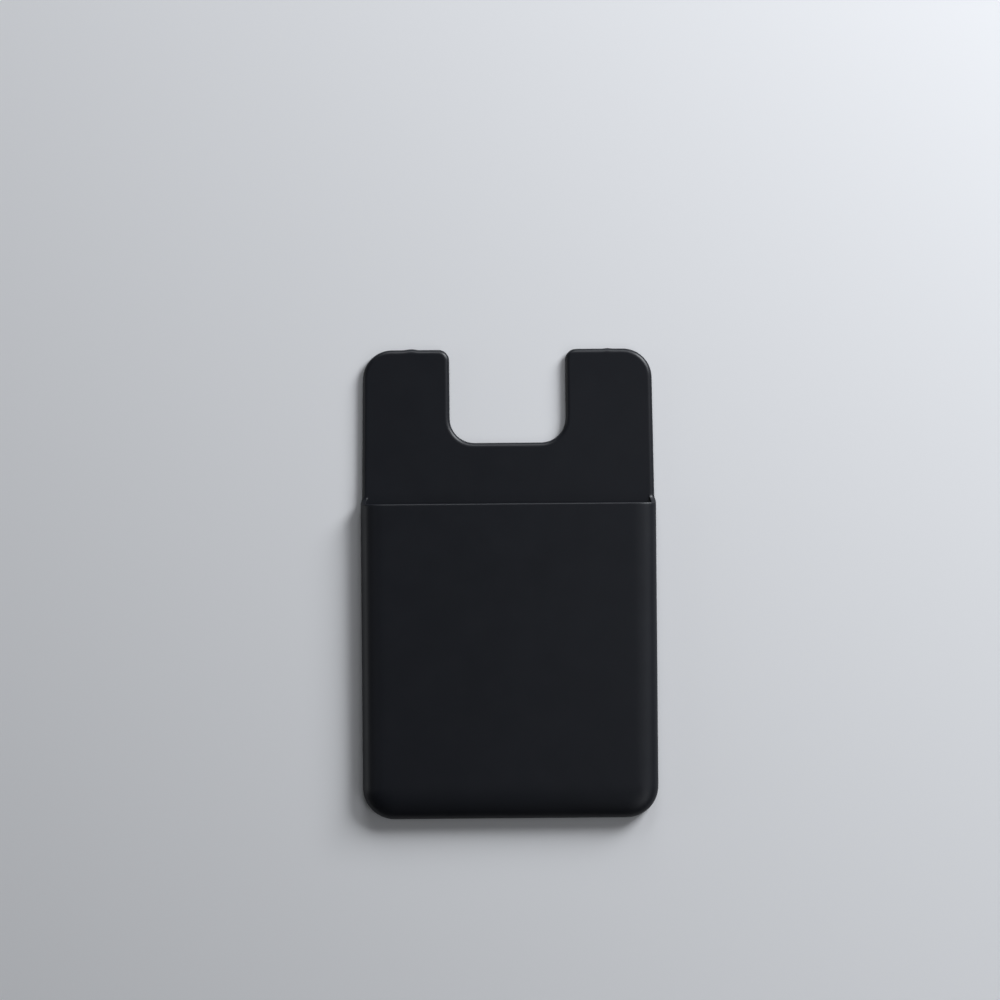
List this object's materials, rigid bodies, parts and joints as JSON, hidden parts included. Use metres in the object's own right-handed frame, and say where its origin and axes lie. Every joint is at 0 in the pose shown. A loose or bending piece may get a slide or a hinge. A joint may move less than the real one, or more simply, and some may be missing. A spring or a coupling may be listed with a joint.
{
  "type": "stick-on card holder",
  "caption": "Slim soft silicone sleeve that sticks behind a phone: back plate with a finger notch between two horns, a flat pocket open towards the horns, and an adhesive sheet at the back.",
  "frame": {"origin": "on the adhesive's open face, under the middle of the sleeve's outline", "axes": "+Z out of the sleeve's front, +Y from the closed bottom towards the horns, +X to the right seen from the front"},
  "size_m": [0.0602, 0.0956, 0.0043],
  "materials": {
    "silicone": "smooth matte soft-touch, near black",
    "adhesive": "tacky, milky, slightly see-through film"
  },
  "bodies": {
    "root": {"sleeve_body": "silicone", "adhesive_pad": "adhesive"}
  },
  "joints": []
}
